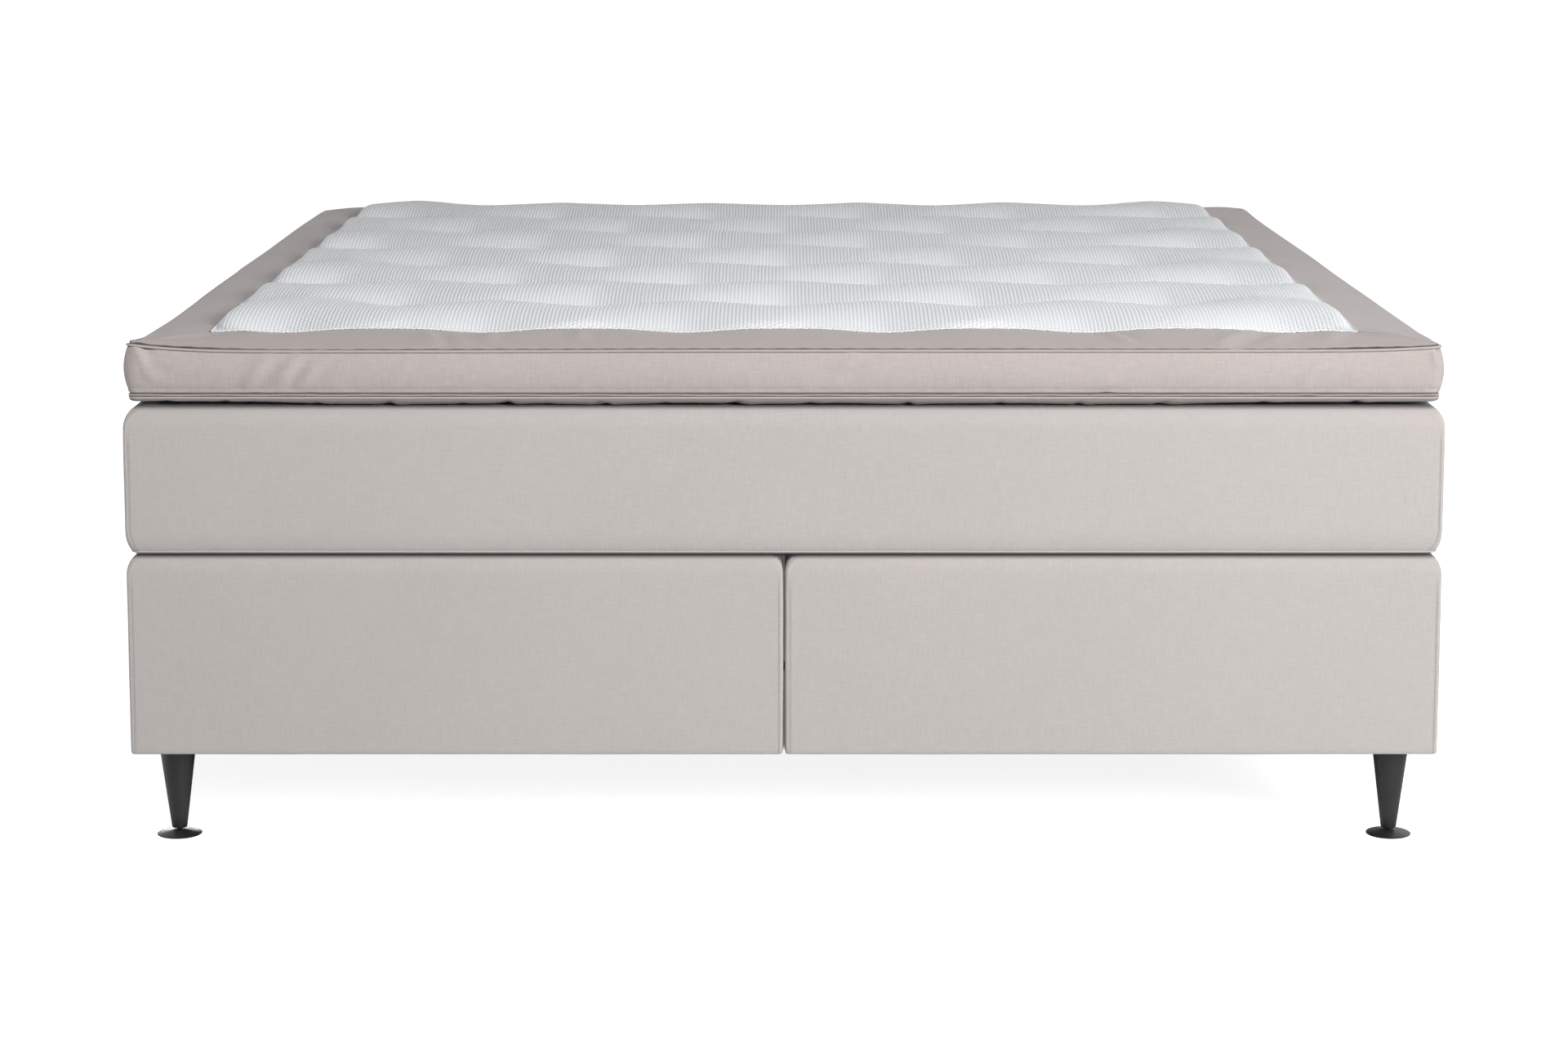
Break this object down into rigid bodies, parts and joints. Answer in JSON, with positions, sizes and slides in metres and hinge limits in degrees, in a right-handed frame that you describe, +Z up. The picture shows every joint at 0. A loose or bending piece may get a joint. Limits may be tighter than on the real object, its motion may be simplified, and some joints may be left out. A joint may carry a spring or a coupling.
{
  "type": "box spring bed",
  "caption": "Double box spring bed: two upholstered sprung bases on tapered legs with levelling feet, a full-width sprung mattress and a tufted zip-cover topper.",
  "frame": {"origin": "on the floor under the middle of the bed", "axes": "+X to the right seen from the foot end, +Y from the foot end to the head end, +Z up"},
  "size_m": [1.8, 2, 0.7217],
  "materials": {
    "cover_fabric": "matte",
    "topper_fabric": "matte",
    "quilt_knit": "matte",
    "dust_cloth": "matte",
    "pine": "matte",
    "foam": "matte",
    "felt": "matte",
    "pocket_fabric": "matte",
    "leg_black": "satin",
    "foot_black": "satin",
    "zinc": "satin"
  },
  "bodies": {
    "left_base": {"left_outer_rail": "pine", "left_inner_rail": "pine", "left_foot_rail": "pine", "left_head_rail": "pine", "left_outer_leg_board": "pine", "left_inner_leg_board": "pine", "left_slat_roll": "pine", "left_spring_unit": "pocket_fabric", "left_felt_pad": "felt", "left_foam_pad": "foam", "left_cover": "cover_fabric", "left_dust_cloth": "dust_cloth", "joining_plate_front": "zinc", "joining_plate_rear": "zinc"},
    "right_base": {"right_outer_rail": "pine", "right_inner_rail": "pine", "right_foot_rail": "pine", "right_head_rail": "pine", "right_outer_leg_board": "pine", "right_inner_leg_board": "pine", "right_slat_roll": "pine", "right_spring_unit": "pocket_fabric", "right_felt_pad": "felt", "right_foam_pad": "foam", "right_cover": "cover_fabric", "right_dust_cloth": "dust_cloth"},
    "mattress": {"mattress_underside": "cover_fabric", "mattress_lower_foam": "foam", "mattress_edge_foam": "foam", "mattress_spring_unit": "pocket_fabric", "mattress_upper_foam": "foam", "mattress_cover": "cover_fabric"},
    "topper": {"topper_bottom_panel": "topper_fabric", "topper_zip": "topper_fabric", "topper_side_band": "topper_fabric", "topper_piping": "topper_fabric", "topper_border": "topper_fabric", "topper_core": "foam", "topper_quilt": "quilt_knit"},
    "zip_slider": {"zip_slider": "zinc"},
    "zip_pull": {"zip_pull": "zinc"},
    "leg_left_outer_front": {"leg_left_outer_front": "leg_black"},
    "leg_left_outer_rear": {"leg_left_outer_rear": "leg_black"},
    "leg_left_inner_front": {"leg_left_inner_front": "leg_black"},
    "leg_left_inner_rear": {"leg_left_inner_rear": "leg_black"},
    "leg_right_outer_front": {"leg_right_outer_front": "leg_black"},
    "leg_right_outer_rear": {"leg_right_outer_rear": "leg_black"},
    "leg_right_inner_front": {"leg_right_inner_front": "leg_black"},
    "leg_right_inner_rear": {"leg_right_inner_rear": "leg_black"},
    "foot_left_outer_front": {"foot_left_outer_front": "foot_black"},
    "foot_left_outer_rear": {"foot_left_outer_rear": "foot_black"},
    "foot_left_inner_front": {"foot_left_inner_front": "foot_black"},
    "foot_left_inner_rear": {"foot_left_inner_rear": "foot_black"},
    "foot_right_outer_front": {"foot_right_outer_front": "foot_black"},
    "foot_right_outer_rear": {"foot_right_outer_rear": "foot_black"},
    "foot_right_inner_front": {"foot_right_inner_front": "foot_black"},
    "foot_right_inner_rear": {"foot_right_inner_rear": "foot_black"}
  },
  "joints": [
    {"name": "right_base_slide", "type": "slide", "parent": "left_base", "child": "right_base", "axis": [1, 0, 0], "range_m": [0, 0.25]},
    {"name": "mattress_lift", "type": "slide", "parent": "left_base", "child": "mattress", "axis": [0, 0, 1], "range_m": [0, 0.3]},
    {"name": "topper_lift", "type": "slide", "parent": "mattress", "child": "topper", "axis": [0, 0, 1], "range_m": [0, 0.25]},
    {"name": "zip_travel", "type": "slide", "parent": "topper", "child": "zip_slider", "axis": [1, 0, 0], "range_m": [0, 1.6]},
    {"name": "zip_pull_flip", "type": "hinge", "parent": "zip_slider", "child": "zip_pull", "pos_m": [-0.8, 0.9972, 0.6266], "axis": [0, 0, 1], "range_deg": [0, 170]},
    {"name": "leg_left_outer_front_turn", "type": "hinge", "parent": "left_base", "child": "leg_left_outer_front", "pos_m": [-0.8449, -0.9449, 0.12], "axis": [0, 0, 1], "continuous": true},
    {"name": "leg_left_outer_rear_turn", "type": "hinge", "parent": "left_base", "child": "leg_left_outer_rear", "pos_m": [-0.8449, 0.9449, 0.12], "axis": [0, 0, 1], "continuous": true},
    {"name": "leg_left_inner_front_turn", "type": "hinge", "parent": "left_base", "child": "leg_left_inner_front", "pos_m": [-0.0566, -0.45, 0.12], "axis": [0, 0, 1], "continuous": true},
    {"name": "leg_left_inner_rear_turn", "type": "hinge", "parent": "left_base", "child": "leg_left_inner_rear", "pos_m": [-0.0566, 0.45, 0.12], "axis": [0, 0, 1], "continuous": true},
    {"name": "leg_right_outer_front_turn", "type": "hinge", "parent": "right_base", "child": "leg_right_outer_front", "pos_m": [0.8449, -0.9449, 0.12], "axis": [0, 0, 1], "continuous": true},
    {"name": "leg_right_outer_rear_turn", "type": "hinge", "parent": "right_base", "child": "leg_right_outer_rear", "pos_m": [0.8449, 0.9449, 0.12], "axis": [0, 0, 1], "continuous": true},
    {"name": "leg_right_inner_front_turn", "type": "hinge", "parent": "right_base", "child": "leg_right_inner_front", "pos_m": [0.0566, -0.45, 0.12], "axis": [0, 0, 1], "continuous": true},
    {"name": "leg_right_inner_rear_turn", "type": "hinge", "parent": "right_base", "child": "leg_right_inner_rear", "pos_m": [0.0566, 0.45, 0.12], "axis": [0, 0, 1], "continuous": true},
    {"name": "foot_left_outer_front_level", "type": "slide", "parent": "leg_left_outer_front", "child": "foot_left_outer_front", "axis": [0, 0, -1], "range_m": [0, 0.01]},
    {"name": "foot_left_outer_rear_level", "type": "slide", "parent": "leg_left_outer_rear", "child": "foot_left_outer_rear", "axis": [0, 0, -1], "range_m": [0, 0.01]},
    {"name": "foot_left_inner_front_level", "type": "slide", "parent": "leg_left_inner_front", "child": "foot_left_inner_front", "axis": [0, 0, -1], "range_m": [0, 0.01]},
    {"name": "foot_left_inner_rear_level", "type": "slide", "parent": "leg_left_inner_rear", "child": "foot_left_inner_rear", "axis": [0, 0, -1], "range_m": [0, 0.01]},
    {"name": "foot_right_outer_front_level", "type": "slide", "parent": "leg_right_outer_front", "child": "foot_right_outer_front", "axis": [0, 0, -1], "range_m": [0, 0.01]},
    {"name": "foot_right_outer_rear_level", "type": "slide", "parent": "leg_right_outer_rear", "child": "foot_right_outer_rear", "axis": [0, 0, -1], "range_m": [0, 0.01]},
    {"name": "foot_right_inner_front_level", "type": "slide", "parent": "leg_right_inner_front", "child": "foot_right_inner_front", "axis": [0, 0, -1], "range_m": [0, 0.01]},
    {"name": "foot_right_inner_rear_level", "type": "slide", "parent": "leg_right_inner_rear", "child": "foot_right_inner_rear", "axis": [0, 0, -1], "range_m": [0, 0.01]}
  ]
}
